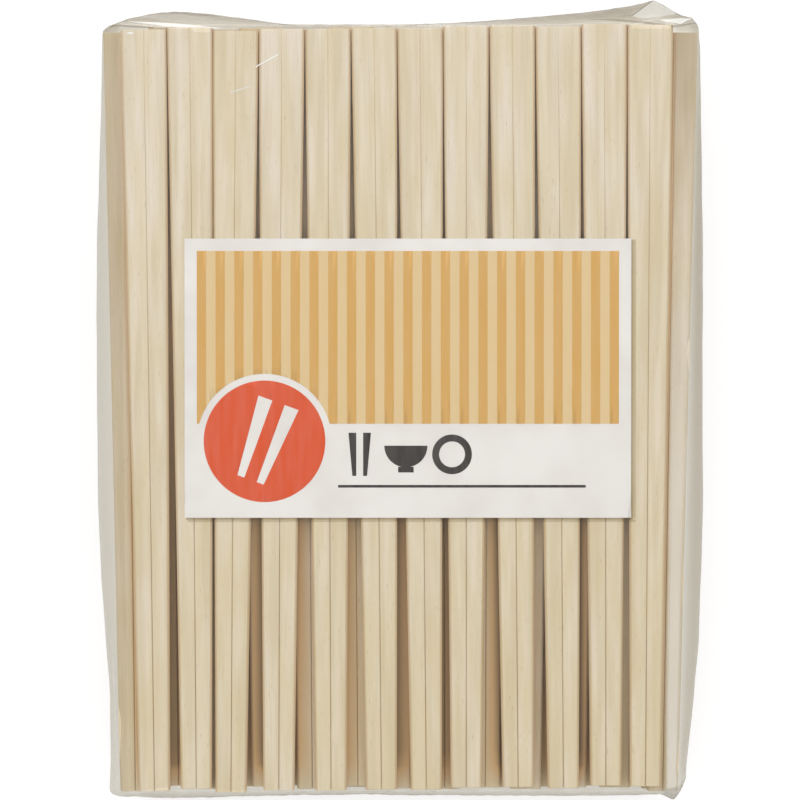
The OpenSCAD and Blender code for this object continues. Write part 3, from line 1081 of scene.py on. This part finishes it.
@dataclass
class FilmBag:
    """The clear film tube: tight over both faces, bulged at the sides, welded at both ends."""

    front: list[ChopstickPair]
    back: list[ChopstickPair]
    slip: LabelSlip
    pushed: tuple[float, float]
    base: float = 0.11
    layers: int = 8
    layer_gap: float = 0.05
    thickness: tuple[float, float] = (4.0, 4.5)
    front_half: tuple[float, float] = (71.58, 73.43)
    full_half: tuple[float, float] = (74.173, 78.48)
    beside_wood: float = 0.3
    step_down: float = 4.9
    left_side: tuple[tuple[float, float], ...] = (
        (0, 77.6), (0.06, 77.4), (0.12, 77.5), (0.18, 78.5), (0.27, 80.0), (0.38, 80.8),
        (0.5, 81.2), (0.62, 81.3), (0.75, 80.9), (0.87, 80.2), (0.95, 79.8), (1, 79.5),
    )
    right_side: tuple[tuple[float, float], ...] = (
        (0, 78.1), (0.05, 79.0), (0.1, 80.1), (0.18, 81.6), (0.28, 82.4), (0.38, 82.7),
        (0.62, 82.7), (0.8, 82.4), (0.92, 82.1), (0.98, 81.8), (1, 81.4),
    )
    end_gap: float = 0.6
    corner_gap: float = 0.8
    label_room: float = 0.34
    tight_lift: float = 0.03
    under_lift: float = 0.02
    tight_power: int = 3
    flat_power: int = 6
    label_lift: float = 0.27
    label_fade: float = 2.6
    film_sag: float = 0.09
    film_spread: float = 1.2
    seam_half: float = 0.09
    seam_point: float = 0.35
    head_seam: tuple[tuple[float, float], ...] = (
        (-79.5, 100.7), (-78.9, 101.5), (-77.5, 102.6), (-75.3, 103.7), (-72.6, 104.9),
        (-67.3, 106.2), (-62.7, 106.7), (-57.7, 106.9), (-50.4, 106.3), (-41.3, 105.0),
        (-34.6, 104.0), (-30.0, 103.3), (-26.2, 103.0), (0.8, 103.0), (14.3, 103.6), (27.8, 104.7),
        (35.9, 105.3), (55.6, 107.4), (63.8, 108.7), (69.3, 110.2), (76.2, 106.1), (79.9, 105.3),
        (80.8, 103.2), (81.4, 101.2),
    )
    tip_seam: tuple[tuple[float, float], ...] = (
        (-77.8, -102.6), (-77.0, -104.0), (-75.2, -104.6), (-68.0, -104.9), (-58.1, -105.1),
        (-48.0, -104.9), (-38.9, -104.5), (-14.0, -104.1), (0.8, -104.1), (24.6, -104.4),
        (48.1, -104.5), (66.0, -104.2), (70.9, -104.1), (74.7, -105.5), (76.0, -103.4),
        (77.2, -101.3), (78.2, -99.6),
    )
    long_folds: Ripples = Ripples(11, 5.0, 13.0, 6.0)
    sharp_folds: Ripples = Ripples(23, 9.0, 20.0, 3.5)
    fold_depths: tuple[float, float] = (0.16, 0.28)
    fold_calm: tuple[float, float] = (0.35, 1.0)
    wide_dents: Ripples = Ripples(5, 9.0, 24.0, 1.6)
    small_dents: Ripples = Ripples(8, 3.0, 8.0)
    dent_depths: tuple[float, float] = (0.1, 0.12)
    side_turn: tuple[float, float, float] = (18.0, 60.0, 22.0)
    seam_fade: float = 0.35
    crease_above: float = 16.0
    loose_from: float = 0.625
    veil_reach: tuple[float, float] = (0.6, 0.95)
    step_reach: tuple[float, ...] = (0.0, 0.3, 0.62, 0.72)
    side_veil: float = 0.3
    end_veil: tuple[float, float] = (0.5, 0.6)
    head_veil: float = 0.05
    side_dullness: tuple[float, float] = (0.42, 0.75)
    dull_from: tuple[float, float] = (0.0, 0.6)
    dull_trend: tuple[tuple[float, float], ...] = ((-100, 0.8), (0, 1.0), (60, 1.25), (101, 1.2))
    dull_ramp: float = 0.3
    dull_closing: float = 30.0
    end_bend: float = 70.0
    tip_dullness: float = 0.45
    # Along Y over the right step: place, white veil and grey tint of the film, lighter towards the
    # tips and greyer towards the heads.
    step_haze: tuple[tuple[float, float, float], ...] = (
        (-100, 1.1, 0.0), (-79, 1.0, 0.0), (-41, 0.75, 0.0), (2, 0.6, 0.0), (45, 0.1, 0.05),
        (56, 0.0, 0.15), (94, 0.0, 0.55), (101, 0.0, 0.55),
    )
    head_dullness: tuple[tuple[float, float], ...] = (
        (-80, 0.7), (-45, 0.8), (-10, 0.4), (10, 0.35), (35, 0.8), (60, 0.9), (82, 0.7),
    )
    flap_lift: float = 0.03
    flap_margin: float = 2.0
    fold_and_painted_light_flaps: tuple[FoldAndPaintedLightFlap, ...] = (
        # Head end, right: a lighter facet and a white corner facet, painted highlights.
        FoldAndPaintedLightFlap(((62.8, 104.7), (69.2, 109.8), (75.3, 105.7), (69.7, 104.2), (65.5, 103.9)), 1.0, 0.1),
        FoldAndPaintedLightFlap(((69.9, 103.3), (76.2, 104.3), (79.3, 104.7), (75.5, 102.4)), 1.4, 0.0),
        # A darker zone, then painted shade along a facet's edge and along three folds.
        FoldAndPaintedLightFlap(((36.0, 104.8), (54.3, 106.8), (63.2, 107.3), (62.4, 104.7), (55.2, 104.3)), 0.2, 0.4),
        FoldAndPaintedLightFlap(((62.3, 104.7), (68.8, 109.9), (69.2, 109.8), (62.8, 104.7)), 0.5, 1.0),
        FoldAndPaintedLightFlap(((46.0, 104.0), (58.2, 103.9), (63.1, 103.4), (63.1, 102.7), (58.2, 103.1)), 0.5, 1.0),
        FoldAndPaintedLightFlap(((63.1, 103.4), (73.8, 101.9), (73.8, 101.5), (63.1, 102.7)), 0.5, 1.0),
        FoldAndPaintedLightFlap(((73.8, 101.9), (80.2, 103.3), (80.4, 102.9), (73.8, 101.4)), 0.6, 1.0),
        # Head end, left: a painted highlight strip over the heads' edge.
        FoldAndPaintedLightFlap(
            (
                (-71.9, 103.9), (-59.5, 102.6), (-53.5, 102.2), (-42.3, 101.5),
                (-48.2, 101.1), (-61.0, 101.6), (-71.9, 103.3),
            ),
            1.5, 0.0,
        ),
        # Painted shade in a dark band along the outline.
        FoldAndPaintedLightFlap(
            (
                (-66.6, 106.6), (-59.4, 106.9), (-50.3, 106.1), (-46.5, 105.3),
                (-52.5, 105.3), (-60.1, 106.0),
            ),
            0.5, 0.8,
        ),
        FoldAndPaintedLightFlap(
            ((-70.0, 105.0), (-58.3, 105.2), (-39.2, 102.5), (-53.8, 102.7), (-61.3, 103.3)),
            0.6, 0.25,
        ),
        # A painted shadow line just above the wood's heads.
        FoldAndPaintedLightFlap(((-76.0, 102.2), (-64.7, 101.5), (-64.7, 101.1), (-76.0, 101.8)), 0.4, 1.0),
        # A painted glint, then two scratches that show as painted highlights.
        FoldAndPaintedLightFlap(((-72.2, 99.8), (-70.9, 100.2), (-69.8, 99.9), (-71.0, 99.55)), 2.0, 0.0),
        FoldAndPaintedLightFlap(((-37.6, 91.1), (-31.6, 94.4), (-31.5, 94.1), (-37.5, 90.8)), 2.0, 0.0),
        FoldAndPaintedLightFlap(((-44.6, 84.1), (-39.3, 85.9), (-39.2, 85.6), (-44.5, 83.8)), 1.3, 0.0),
        FoldAndPaintedLightFlap(
            ((71.2, -101.6), (76.9, -101.0), (77.2, -101.7), (74.8, -105.3), (71.2, -104.2)),
            0.6, 0.3,
        ),
        FoldAndPaintedLightFlap(((-76.3, -62.0), (-73.6, -103.9), (-76.6, -104.1)), 0.6, 0.1),
        # Painted shadow of the slip's right and lower edges, two steps along each.
        FoldAndPaintedLightFlap(((62.4, 45.0), (62.9, 45.0), (62.9, -29.1), (62.4, -29.1)), 0.0, 0.7),
        FoldAndPaintedLightFlap(((62.9, 45.0), (63.6, 45.0), (63.6, -29.1), (62.9, -29.1)), 0.0, 0.3),
        FoldAndPaintedLightFlap(((-56.2, -29.1), (62.9, -29.1), (62.9, -29.6), (-56.2, -29.6)), 0.0, 0.7),
        FoldAndPaintedLightFlap(((-55.8, -29.6), (63.6, -29.6), (63.6, -30.2), (-55.8, -30.2)), 0.0, 0.3),
    )
    face_steps: int = 170
    side_levels: tuple[float, ...] = (
        0.985, 0.95, 0.9, 0.845, 0.79, 0.735, 0.62, 0.48, 0.34, 0.2, 0.066,
    )
    body_steps: int = 170
    closing_steps: int = 20
    closing_ease: float = 0.85
    corner_ease: float = 0.85
    creases: tuple[Crease, ...] = (
        Crease((68.4, 108.0), (62.5, 103.6), 0.9, 1.3),
        Crease((68.4, 108.0), (53.5, 104.8), 0.6, 1.2),
        Crease((75.5, 104.4), (66.0, 103.4), -0.7, 1.2),
        Crease((46.7, 103.3), (61.9, 102.7), -0.6, 1.2),
        Crease((73.5, 101.8), (62.9, 102.1), 0.5, 1.0),
        Crease((-69.8, 103.2), (-49.8, 101.6), 0.7, 1.2),
        Crease((-64.0, 105.2), (-50.0, 103.6), -0.5, 1.2),
        Crease((-76.0, 101.6), (-66.0, 101.9), -0.5, 1.0),
        Crease((-71.0, -104.0), (-60.0, -101.8), 0.4, 1.2),
        Crease((74.0, -104.2), (68.0, -101.6), 0.6, 1.2),
        Crease((75.0, -98.0), (77.5, -86.0), 0.5, 1.6),
        Crease((-75.8, -99.0), (-73.4, -75.0), 0.5, 1.4),
    )

    @property
    def side_steps(self) -> int:
        """Points down each side of a section."""
        return 2 * len(self.side_levels)

    def stations(self) -> list[tuple[float, End, float]]:
        """Sections from the tips' seam to the heads' seam.

        Returns:
            Rows of share along the film, end and angle of closing.
        """
        closings = 90 * np.linspace(0, 1, self.closing_steps + 1)[1:] ** self.closing_ease
        ends = {
            end: [(float(end is End.HEADS), end, float(c)) for c in closings]
            for end in (End.TIPS, End.HEADS)
        }
        body = [(float(s), End.BODY, 0.0) for s in np.linspace(0, 1, self.body_steps)]
        return ends[End.TIPS][::-1] + body + ends[End.HEADS]

    def ring(self) -> tuple[np.ndarray, np.ndarray, np.ndarray]:
        """Points round a section.

        Returns:
            Share across the flat faces, share out into the sides, and height from -1 to 1.
        """
        across = np.linspace(-1, 1, self.face_steps + 1)
        levels = np.array(self.side_levels)
        rise = np.concatenate([levels, -levels[::-1]])
        out = np.sqrt(1 - rise**2)
        zero, one = np.zeros(self.face_steps + 1), np.ones(self.face_steps + 1)
        side = np.ones(self.side_steps)
        return (
            np.concatenate([across, side, across[::-1], -side]),
            np.concatenate([zero, out, zero, out[::-1]]),
            np.concatenate([one, rise, -one, rise[::-1]]),
        )

    def top(self, share: float) -> float:
        """Height of the pairs' top at a share of the way from tips to heads."""
        return self.base + self.layers * (between(self.thickness, share) + self.layer_gap)

    def label_cover(self, x: np.ndarray, y: np.ndarray) -> np.ndarray:
        """Tells where the film lies on the slip.

        Args:
            x: Places across.
            y: Places along.

        Returns:
            1 for places on the slip, falling to 0 beside it.
        """
        low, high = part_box("label_slip")
        gap_x = np.maximum(low[0] / MM - x, x - high[0] / MM)
        gap_y = np.maximum(low[1] / MM - y, y - high[1] / MM)
        away = np.hypot(np.maximum(gap_x, 0), np.maximum(gap_y, 0))
        near = np.clip(1 - away / self.label_fade, 0, 1)
        return near * near * (3 - 2 * near)

    def wall(self, x: np.ndarray, end: End) -> tuple[np.ndarray, np.ndarray]:
        """Where the film starts to close at an end, and where its seam lies.

        Args:
            x: Places across.
            end: Tips or heads.

        Returns:
            Both as places along Y.
        """
        table = self.head_seam if end is End.HEADS else self.tip_seam
        seam = np.interp(x, *zip(*table)) * end.value
        wall = np.minimum(PAIR_LENGTH / 2 + self.end_gap, seam - self.corner_gap)
        return wall * end.value, seam * end.value

    def spread(self, along: float, across: np.ndarray, rise: np.ndarray) -> np.ndarray:
        """Places across of a section's points: tight over the pairs' corners, slack between.

        Args:
            along: Share of the way from tips to heads.
            across: Share across the flat faces of each point.
            rise: Height from -1 to 1 of each point.

        Returns:
            Places in X.
        """
        flat = between(self.front_half, along)
        room = between(self.pushed, along) * (across > 0)
        full = between(self.full_half, along) + self.beside_wood + room
        left, right = (
            float(np.interp(along, *zip(*table))) for table in (self.left_side, self.right_side)
        )
        side = np.where(across < 0, left, right)
        level = np.abs(rise)
        bend = 1 - 2 * self.step_down / self.top(along)
        slope = flat + (full - flat) * np.clip((1 - level) / (1 - bend), 0, 1) ** self.corner_ease
        bulge = (side - full) * np.sin(math.pi / 2 * np.clip((bend - level) / bend, 0, 1))
        return np.where(level < 1, np.sign(across) * (slope + bulge), across * flat)

    def section(
        self, share: float, end: End, closing: float,
        ring: tuple[np.ndarray, np.ndarray, np.ndarray],
    ) -> np.ndarray:
        """One closed section of the film before its folds.

        Args:
            share: Share of the way from the tips' wall to the heads' wall.
            end: End that it belongs to.
            closing: Degrees of closing down to the seam.
            ring: Shares from the ring method.

        Returns:
            Points in millimetres.
        """
        across, _, rise = ring
        closing = math.radians(closing)
        x = self.spread(share, across, rise)
        tips, tip_seam = self.wall(x, End.TIPS)
        heads, head_seam = self.wall(x, End.HEADS)
        y = between((tips, heads), share)
        if end is not End.BODY:
            ends = (heads, head_seam) if end is End.HEADS else (tips, tip_seam)
            y = between(ends, math.sin(closing))
        top = self.top(share) + self.label_room
        narrowing = between((math.cos(closing), 1 - math.sin(closing)), self.seam_point)
        half = between((self.seam_half, top / 2), narrowing)
        return np.stack([x, y, top / 2 + rise * half], axis=1)

    def settle(self, grid: np.ndarray, rise: np.ndarray, closing: np.ndarray) -> np.ndarray:
        """Lays the film on the pairs and the slip, and sinks it between them.

        Args:
            grid: Points, by section and place round it.
            rise: Height from -1 to 1 of each place round a section.
            closing: Angle of closing of each section, in degrees.

        Returns:
            The grid with its flat faces settled.
        """
        x, y, z = grid[..., 0], grid[..., 1], grid[..., 2].copy()
        tight = np.cos(np.radians(closing))[:, None] ** self.tight_power
        bare = self.tight_lift - gap_dip(self.front, x, y, self.film_sag, self.film_spread)
        covered = self.label_lift - self.slip.dip(x, y)
        drop = self.label_room - between((bare, covered), self.label_cover(x, y))
        z -= drop * tight * np.clip(rise, 0, 1) ** self.flat_power
        under = gap_dip(self.back, x, y, self.film_sag, self.film_spread)
        z += (self.under_lift + under) * tight * np.clip(-rise, 0, 1) ** self.flat_power
        return np.stack([x, y, z], axis=-1)

    def normals(self, grid: np.ndarray) -> np.ndarray:
        """Outward directions of the film's grid.

        Args:
            grid: Points, by section and place round it.

        Returns:
            A unit direction for each point.
        """
        along = np.gradient(grid, axis=0)
        wrapped = np.concatenate([grid[:, -1:], grid, grid[:, :1]], axis=1)
        around = (wrapped[:, 2:] - wrapped[:, :-2]) / 2
        normal = np.cross(around, along)
        size = np.linalg.norm(normal, axis=-1, keepdims=True)
        return -normal / np.maximum(size, 1e-9)

    def build(self) -> None:
        """Builds the film as one closed skin, and lays on it the patches of painted highlights and
        shade.
        """
        ring, stations = self.ring(), self.stations()
        out, rise = ring[1:]
        closing = np.array([station[2] for station in stations])
        grid = np.array([self.section(*station, ring) for station in stations])
        grid = self.settle(grid, rise, closing)
        x, y, z = np.moveaxis(grid, 2, 0)
        on_left = x < 0
        ends = np.clip(closing / self.end_bend, 0, 1)[:, None]
        sides = np.interp(out, (0, self.loose_from), (0, 1))
        outer = np.interp(out, self.veil_reach, (0, 1))
        heads = np.clip(y / PAIR_LENGTH + 0.5, 0, 1)
        end_veil = between(self.end_veil, heads) * ends
        slack = np.maximum(self.side_veil * outer, end_veil) + self.head_veil * heads
        step = np.interp(out, self.step_reach, (0, 1, 1, 0)) * (rise > 0)
        places, *hazes = zip(*self.step_haze)
        haze, step_dull = (np.where(on_left, 0, step * np.interp(y, places, h)) for h in hazes)
        slack += haze
        fade = np.cos(np.radians(np.minimum(closing, 90)))[:, None] ** self.seam_fade
        middle, inset, turn = self.side_turn
        around = np.arctan2(z - middle, np.abs(x) - inset) * turn
        folds = self.fold_depths[0] * self.long_folds.height(around, y)
        folds += self.fold_depths[1] * (1 - np.abs(self.sharp_folds.height(around, y)))
        dents = self.dent_depths[0] * self.wide_dents.height(x, y)
        dents += self.dent_depths[1] * self.small_dents.height(x, z * 2)
        lift = sides * between(self.fold_calm, np.abs(rise)) * folds * fade + ends * dents * fade
        for crease in self.creases:
            lift += crease.lift(x, y) * (z > self.crease_above) * fade
        lift[[0, -1]] = 0
        grid = grid + self.normals(grid) * lift[..., None]
        grid[..., 2] = np.maximum(grid[..., 2], 0.0)
        rows, n = grid.shape[:2]
        faces = [
            (r * n + i, r * n + (i + 1) % n, (r + 1) * n + (i + 1) % n, (r + 1) * n + i)
            for r in range(rows - 1)
            for i in range(n)
        ]
        faces += self.end_strip(0, n)
        faces += [face[::-1] for face in self.end_strip((rows - 1) * n, n)]
        piece = make_piece("film_bag_skin", grid.reshape(-1, 3), faces, CastFilm().material())
        face_out(piece)
        ramp = np.clip((out - np.where(on_left, *self.dull_from)) / self.dull_ramp, 0, 1)
        trend = np.where(on_left, 1, np.interp(grid[..., 1], *zip(*self.dull_trend)))
        side_dull = np.where(on_left, *self.side_dullness) * ramp * trend
        side_dull = np.maximum(side_dull, step_dull)
        head_dull = np.interp(grid[..., 0], *zip(*self.head_dullness))
        end_dull = between((self.tip_dullness, head_dull), heads)
        closed = np.clip(closing / self.dull_closing, 0, 1)[:, None]
        bent = between((side_dull, end_dull), closed)
        set_attribute(piece, "slack", slack.ravel())
        set_attribute(piece, "bent", bent.ravel())
        set_attribute(piece, "grain", grid.reshape(-1, 3))
        hand_over(piece, Slot.FILM, "film_bag")
        for number, flap in enumerate(self.fold_and_painted_light_flaps, start=1):
            self.lay_flap(piece, f"film_fold_{number:02d}", flap)

    def lay_flap(self, bag: bpy.types.Object, name: str, flap: FoldAndPaintedLightFlap) -> None:
        """Lays a patch of film on the bag, cut crisply along its outline, whose veil and tint paint
        highlights and shade.

        Args:
            bag: The finished bag.
            name: Name of the flap.
            flap: Its outline and finish.
        """
        shape = bmesh.new()
        shape.from_mesh(bag.data)
        outline = flap.outline
        middle = np.mean(outline, axis=0)
        size = max(math.dist(corner, middle) for corner in outline) + self.flap_margin
        seam = self.top(middle[1] / PAIR_LENGTH + 0.5) / 2 * MM
        far = []
        for face in shape.faces:
            centre = face.calc_center_median()
            if centre.z < seam or math.dist(centre[:2], middle * MM) > size * MM:
                far.append(face)
        bmesh.ops.delete(shape, geom=far, context="FACES")
        for a, b in zip(outline, outline[1:] + outline[:1]):
            out = np.array([b[1] - a[1], a[0] - b[0], 0.0])
            if (middle - np.array(a)) @ out[:2] > 0:
                out = -out
            way = out / np.linalg.norm(out)
            slice_mesh(shape, (a[0] * MM, a[1] * MM, 0.0), tuple(way), clear=True)
        shape.normal_update()
        for vert in shape.verts:
            vert.co += vert.normal * self.flap_lift * MM
        mesh = bpy.data.meshes.new(name)
        shape.to_mesh(mesh)
        shape.free()
        mesh.materials.append(bag.data.materials[0])
        tuck = link_piece(name, mesh)
        # A strong white veil on a patch is a painted highlight, a strong grey tint painted shade.
        for finish, amount in (("slack", flap.milk_and_painted_highlight), ("bent", flap.dull_and_painted_shade)):
            set_attribute(tuck, finish, np.full(len(mesh.vertices), amount))
        hand_over(tuck, Slot.FILM)

    def end_strip(self, first: int, n: int) -> list[tuple[int, ...]]:
        """Closes an end between its upper and lower film.

        Args:
            first: Number of the end section's first point.
            n: Points in a section.

        Returns:
            The strip's faces.
        """
        steps = self.face_steps + self.side_steps
        half = self.side_steps // 2
        faces: list[tuple[int, ...]] = []
        for k in range(steps):
            a = (n - half + k) % n
            b = (a + 1) % n
            c = (n - half - 1 - k - 1) % n
            d = (n - half - 1 - k) % n
            faces.append(tuple(first + i for i in (a, b, c, d)))
        return faces


@dataclass(frozen=True)
class Lamp:
    """A soft box that points at the pack."""

    name: str
    place: tuple[float, float, float]
    size: tuple[float, float]
    watts: float
    tint: str = "#ffffff"

    def build(self) -> None:
        """Adds the lamp to the scene."""
        data = bpy.data.lights.new(self.name, "AREA")
        data.shape = "RECTANGLE"
        data.size, data.size_y = self.size
        data.energy = self.watts
        data.color = linear_colour(self.tint)[:3]
        lamp = bpy.data.objects.new(self.name, data)
        lamp.location = self.place
        lamp.rotation_euler = (-Vector(self.place)).to_track_quat("-Z", "Y").to_euler()
        bpy.context.scene.collection.objects.link(lamp)


@dataclass
class Studio:
    """White table, pale surround, soft lamps and the camera straight above the pack."""

    view_x: float = 0.8
    view_y: float = 2.29
    view_width: float = 213.1
    focus_height: float = 34.7
    distance: float = 1200.0
    sensor: float = 36.0
    floor_size: float = 4.0
    floor_drop: float = 0.02
    surround: str = "#ffffff"
    table_tone: str = "#b4b4b4"
    table_glow: float = 0.64
    table_bounce: float = 0.25
    fade_reach: tuple[float, float] = (0.3, 0.9)
    ambient: float = 0.4
    overhead: float = 0.97
    ceiling: float = 0.32
    ceiling_reach: tuple[float, float] = (0.45, 0.85)
    lamps: tuple[Lamp, ...] = (
        Lamp("head_softbox", (-0.15, 1.4, 0.5), (2.0, 0.7), 11.4),
        Lamp("left_softbox", (-1.2, 0.5, 0.82), (1.0, 1.3), 5.2),
        Lamp("right_softbox", (1.2, 0.5, 0.82), (1.0, 1.3), 4.7),
        Lamp("tip_softbox", (0.1, -1.4, 0.45), (2.0, 0.7), 4.8),
    )

    def build(self) -> None:
        """Sets up floor, surround, lamps, camera and plain colour handling."""
        self.build_floor()
        self.build_world()
        for lamp in self.lamps:
            lamp.build()
        self.build_camera()
        bpy.context.scene.view_settings.view_transform = "Standard"

    def seen_directly(self, add: Adder) -> Source:
        """Picks out the rays that show a surface to the camera, in a mirror or through clear film.

        Args:
            add: Adds a node to the material or the world.

        Returns:
            Socket with 1 for such rays and 0 for all others.
        """
        path = add("LightPath").outputs
        seen = path["Is Camera Ray"]
        for kind in ("Is Glossy Ray", "Is Transmission Ray"):
            seen = add("Math", {"operation": "MAXIMUM"}, {0: seen, 1: path[kind]})
        return seen

    def build_floor(self) -> None:
        """Lays a white table that keeps the pack's soft shadow."""
        material, add = new_material("studio_table_white_laminate")
        board = add("BsdfDiffuse", {"Color": self.table_tone})
        place = add("TexCoord").outputs["Object"]
        away = add("VectorMath", {"operation": "LENGTH"}, {0: place}).outputs["Value"]
        near, far = self.fade_reach
        fade = {"From Min": near, "From Max": far, "To Min": self.table_glow, "To Max": 1.0}
        brightness = add("MapRange", fade, {"Value": away})
        seen = {"Value": self.seen_directly(add), "To Max": brightness}
        strength = add("MapRange", {"To Min": self.table_bounce}, seen)
        glow = add("Emission", {"Color": self.surround}, {"Strength": strength})
        both = add("AddShader", None, {0: board, 1: glow})
        add("OutputMaterial", None, {"Surface": both})
        half = self.floor_size / 2 / MM
        corners = np.array([(-half, -half, 0), (half, -half, 0), (half, half, 0), (-half, half, 0)])
        floor = make_piece("studio_table", corners, [(0, 1, 2, 3)], material)
        floor.location.z = -self.floor_drop * MM

    def build_world(self) -> None:
        """Surrounds the table with pale walls that look white, under a dimmer ceiling."""
        world = bpy.data.worlds.new("studio_surround")
        bpy.context.scene.world = world
        world.use_nodes = True
        world.node_tree.nodes.clear()
        add = partial(add_node, world.node_tree)
        way = add("TexCoord").outputs["Generated"]
        rise = add("SeparateXYZ", None, {0: way}).outputs["Z"]
        reach = dict(zip(("From Min", "From Max"), self.ceiling_reach))
        light, look = (
            add("MapRange", {**reach, "To Min": low, "To Max": high}, {"Value": rise})
            for low, high in ((self.ambient, self.overhead), (1.0, self.ceiling))
        )
        seen = {"Value": self.seen_directly(add), "To Min": light, "To Max": look}
        strength = {"Strength": add("MapRange", None, seen)}
        sky = add("Background", {"Color": self.surround}, strength)
        add("OutputWorld", None, {"Surface": sky})

    def build_camera(self) -> None:
        """Hangs the camera straight above the pack, with the heads at the top."""
        data = bpy.data.cameras.new("view_from_above")
        data.sensor_width = self.sensor
        data.lens = self.sensor * self.distance / self.view_width
        data.clip_start = 0.01
        camera = bpy.data.objects.new("view_from_above", data)
        camera.location = Vector((self.view_x, self.view_y, self.focus_height + self.distance)) * MM
        bpy.context.scene.collection.objects.link(camera)
        bpy.context.scene.camera = camera


def main() -> None:
    """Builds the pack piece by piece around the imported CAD."""
    logging.basicConfig(level=logging.INFO, format="%(name)s: %(message)s")
    bundle = PairBundle()
    bundle.build()
    slip = LabelSlip(bundle.front)
    slip.build()
    FilmBag(bundle.front, bundle.back, slip, bundle.pushed).build()
    Studio().build()


if __name__ == "__main__":
    main()
